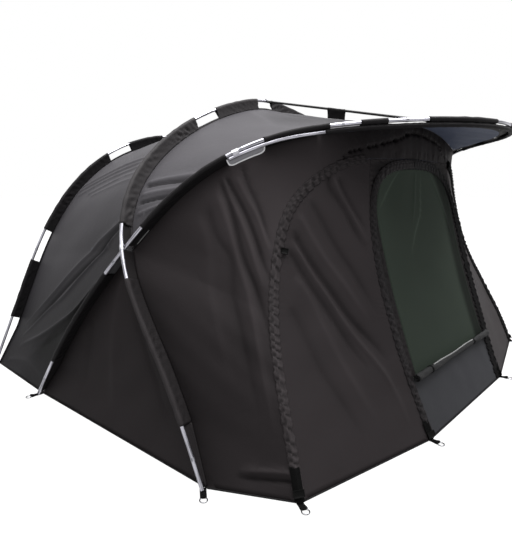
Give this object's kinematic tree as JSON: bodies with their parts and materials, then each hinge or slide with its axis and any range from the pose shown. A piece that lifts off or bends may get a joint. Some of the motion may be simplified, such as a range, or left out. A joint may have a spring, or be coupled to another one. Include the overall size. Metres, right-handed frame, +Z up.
{
  "type": "fishing bivvy",
  "caption": "Low two-person fishing bivvy: crossed arched poles in sewn sleeves, brimmed roof, ruffled zip bands, mesh door and hollow interior, standing open at the ground.",
  "frame": {"origin": "on the ground under the middle of the bivvy's footprint, on its plane of symmetry", "axes": "+Z up, the entrance looks towards -Y, +X to the right of someone who looks in through the entrance"},
  "size_m": [2.9962, 2.6485, 1.6157],
  "materials": {
    "pole_aluminium": "bright drawn tube",
    "black_metal": "black coated bar",
    "black_plastic": "moulded clip",
    "roof_cloth": "coated grey cloth",
    "wall_cloth": "coated charcoal cloth",
    "door_cloth": "coated slate cloth",
    "mosquito_mesh": "fine woven mesh",
    "zip_band_cloth": "gathered cloth over a zip",
    "sleeve_cloth": "black sleeve cloth",
    "webbing": "woven webbing with a steel ring"
  },
  "bodies": {
    "root": {"rear_pole": "pole_aluminium", "middle_pole": "pole_aluminium", "front_pole": "pole_aluminium", "brow_pole": "pole_aluminium", "ridge_bar": "black_metal", "bar_hook": "black_metal", "brow_clip_left": "black_plastic", "brow_clip_right": "black_plastic", "crossing_clip_left": "black_plastic", "crossing_clip_right": "black_plastic", "rear_roof": "roof_cloth", "roof": "roof_cloth", "brim": "roof_cloth", "rear_wall": "wall_cloth", "side_panel_left": "wall_cloth", "side_panel_right": "wall_cloth", "front_surround": "wall_cloth", "front_panel_left": "wall_cloth", "front_panel_right": "wall_cloth", "door_frame": "wall_cloth", "door_lower_panel": "door_cloth", "door_roll": "door_cloth", "door_mesh": "mosquito_mesh", "zip_band_left": "zip_band_cloth", "zip_band_right": "zip_band_cloth", "door_zip_band": "zip_band_cloth", "rear_sleeve": "sleeve_cloth", "middle_sleeve": "sleeve_cloth", "front_sleeve": "sleeve_cloth", "brow_sleeve": "sleeve_cloth", "middle_leg_sleeve_left": "sleeve_cloth", "middle_leg_sleeve_right": "sleeve_cloth", "front_leg_sleeve_left": "sleeve_cloth", "front_leg_sleeve_right": "sleeve_cloth", "ridge_tab": "sleeve_cloth", "peg_tab_rear_foot_left": "webbing", "peg_tab_rear_foot_right": "webbing", "peg_tab_front_pole_foot_left": "webbing", "peg_tab_front_pole_foot_right": "webbing", "peg_tab_middle_foot_left": "webbing", "peg_tab_middle_foot_right": "webbing", "peg_tab_front_corner_left": "webbing", "peg_tab_front_corner_right": "webbing", "peg_tab_door_corner_left": "webbing", "peg_tab_door_corner_right": "webbing", "peg_tab_rear_hem_left": "webbing", "peg_tab_rear_hem_right": "webbing"}
  },
  "joints": []
}
